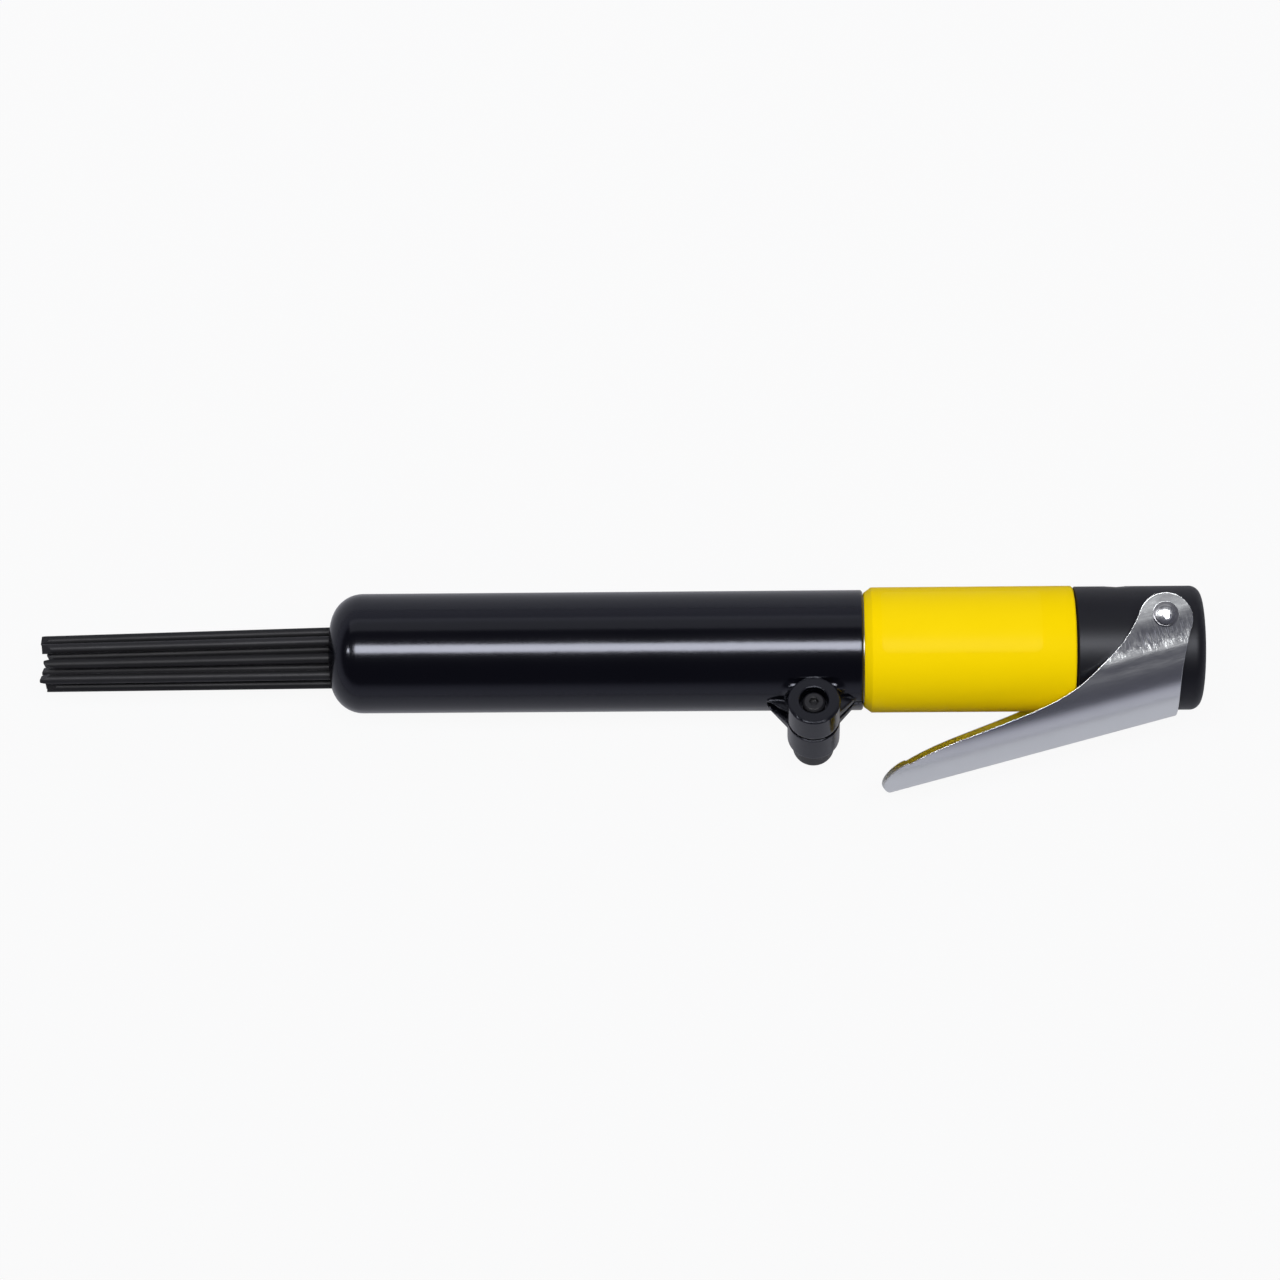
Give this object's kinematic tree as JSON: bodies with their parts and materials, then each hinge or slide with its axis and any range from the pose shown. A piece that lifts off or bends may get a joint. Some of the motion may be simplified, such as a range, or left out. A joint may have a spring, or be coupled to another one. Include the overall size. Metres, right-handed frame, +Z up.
{
  "type": "needle scaler",
  "caption": "Straight air-driven needle scaler: black front tube with a split clamp, yellow grip sleeve, black rear cap and a hinged steel throttle lever.",
  "frame": {"origin": "centre of the air inlet's mouth in the rear face, on the tool's axis", "axes": "+X along the tool towards the rear, out of the air inlet; the lever hangs towards -Y; +Z is up when the tool lies on its side, along the lever's hinge"},
  "size_m": [0.3479, 0.0615, 0.0461],
  "materials": {
    "gloss_black_paint": "gloss black paint",
    "black_hardware": "black oxide",
    "satin_black": "satin black",
    "gloss_yellow": "gloss yellow",
    "brushed_steel": "fine grained satin",
    "polished_steel": "polished",
    "needle_steel": "dark drawn wire",
    "machined_steel": "turned",
    "spring_steel": "oiled",
    "bronze": "turned",
    "rubber": "matte"
  },
  "bodies": {
    "handle": {"rear_cap": "satin_black", "inlet_strainer": "bronze", "throttle_bush": "bronze", "stem_seal": "rubber", "throttle_plug": "black_hardware", "throttle_spring": "spring_steel", "cap_seal": "rubber", "grip_sleeve": "gloss_yellow", "cylinder": "machined_steel", "anvil_bush": "bronze", "buffer_ring": "rubber", "valve_cover": "machined_steel", "valve_seat": "machined_steel"},
    "front_housing": {"front_tube": "gloss_black_paint", "clamp_screw": "black_hardware", "clamp_nut": "black_hardware", "needle_spring": "spring_steel"},
    "throttle_lever": {"lever": "brushed_steel", "lever_pin": "polished_steel"},
    "throttle_poppet": {"throttle_valve": "polished_steel", "throttle_seal": "rubber"},
    "hammer": {"piston": "machined_steel"},
    "flutter_plate": {"valve_plate": "machined_steel"},
    "striker": {"anvil": "machined_steel"},
    "needle_carrier": {"needle_holder": "machined_steel"},
    "needle_01": {"needle_01": "needle_steel"},
    "needle_02": {"needle_02": "needle_steel"},
    "needle_03": {"needle_03": "needle_steel"},
    "needle_04": {"needle_04": "needle_steel"},
    "needle_05": {"needle_05": "needle_steel"},
    "needle_06": {"needle_06": "needle_steel"},
    "needle_07": {"needle_07": "needle_steel"},
    "needle_08": {"needle_08": "needle_steel"},
    "needle_09": {"needle_09": "needle_steel"},
    "needle_10": {"needle_10": "needle_steel"},
    "needle_11": {"needle_11": "needle_steel"},
    "needle_12": {"needle_12": "needle_steel"}
  },
  "joints": [
    {"name": "lever_squeeze", "type": "hinge", "parent": "handle", "child": "throttle_lever", "pos_m": [-0.01235, 0.0098, 0], "axis": [0, 0, -1], "range_deg": [0, 14], "stiffness_Nm_per_rad": 2.5, "springref_deg": -11.46},
    {"name": "throttle_lift", "type": "slide", "parent": "handle", "child": "throttle_poppet", "axis": [0, 1, 0], "range_m": [0, 0.00419], "deforming": ["throttle_spring"]},
    {"name": "front_tube_adjust", "type": "slide", "parent": "handle", "child": "front_housing", "axis": [-1, 0, 0], "range_m": [0, 0.025], "deforming": ["needle_spring"]},
    {"name": "piston_stroke", "type": "slide", "parent": "handle", "child": "hammer", "axis": [1, 0, 0], "range_m": [0, 0.027]},
    {"name": "valve_flutter", "type": "slide", "parent": "handle", "child": "flutter_plate", "axis": [-1, 0, 0], "range_m": [0, 0.0007]},
    {"name": "anvil_strike", "type": "slide", "parent": "handle", "child": "striker", "axis": [-1, 0, 0], "range_m": [0, 0.0025]},
    {"name": "holder_travel", "type": "slide", "parent": "handle", "child": "needle_carrier", "axis": [-1, 0, 0], "range_m": [0, 0.006], "stiffness_N_per_m": 1500, "springref_m": -0.01, "deforming": ["needle_spring"]},
    {"name": "needle_01_slide", "type": "slide", "parent": "needle_carrier", "child": "needle_01", "axis": [-0.9997, -0.0235, -0.0016], "range_m": [-0.0035, 0.00005]},
    {"name": "needle_02_slide", "type": "slide", "parent": "needle_carrier", "child": "needle_02", "axis": [-0.9998, -0.0204, -0.0069], "range_m": [-0.00241, 0.00114]},
    {"name": "needle_03_slide", "type": "slide", "parent": "needle_carrier", "child": "needle_03", "axis": [-0.9999, -0.0146, -0.0091], "range_m": [-0.00132, 0.00223]},
    {"name": "needle_04_slide", "type": "slide", "parent": "needle_carrier", "child": "needle_04", "axis": [-0.9999, -0.0088, -0.0069], "range_m": [-0.00284, 0.00071]},
    {"name": "needle_05_slide", "type": "slide", "parent": "needle_carrier", "child": "needle_05", "axis": [-1, -0.0057, -0.0016], "range_m": [-0.00176, 0.00179]},
    {"name": "needle_06_slide", "type": "slide", "parent": "needle_carrier", "child": "needle_06", "axis": [-1, -0.0068, 0.0045], "range_m": [-0.00328, 0.00027]},
    {"name": "needle_07_slide", "type": "slide", "parent": "needle_carrier", "child": "needle_07", "axis": [-0.9999, -0.0115, 0.0085], "range_m": [-0.00219, 0.00136]},
    {"name": "needle_08_slide", "type": "slide", "parent": "needle_carrier", "child": "needle_08", "axis": [-0.9998, -0.0177, 0.0085], "range_m": [-0.0011, 0.00245]},
    {"name": "needle_09_slide", "type": "slide", "parent": "needle_carrier", "child": "needle_09", "axis": [-0.9997, -0.0225, 0.0045], "range_m": [-0.00263, 0.00092]},
    {"name": "needle_10_slide", "type": "slide", "parent": "needle_carrier", "child": "needle_10", "axis": [-0.9998, -0.0202, -0.0032], "range_m": [-0.00154, 0.00201]},
    {"name": "needle_11_slide", "type": "slide", "parent": "needle_carrier", "child": "needle_11", "axis": [-1, -0.009, -0.0032], "range_m": [-0.00306, 0.00049]},
    {"name": "needle_12_slide", "type": "slide", "parent": "needle_carrier", "child": "needle_12", "axis": [-0.9999, -0.0146, 0.0064], "range_m": [-0.00197, 0.00158]}
  ],
  "couplings": [
    {"joint": "throttle_lift", "follows": "lever_squeeze", "m_per_rad": 0.017049}
  ]
}
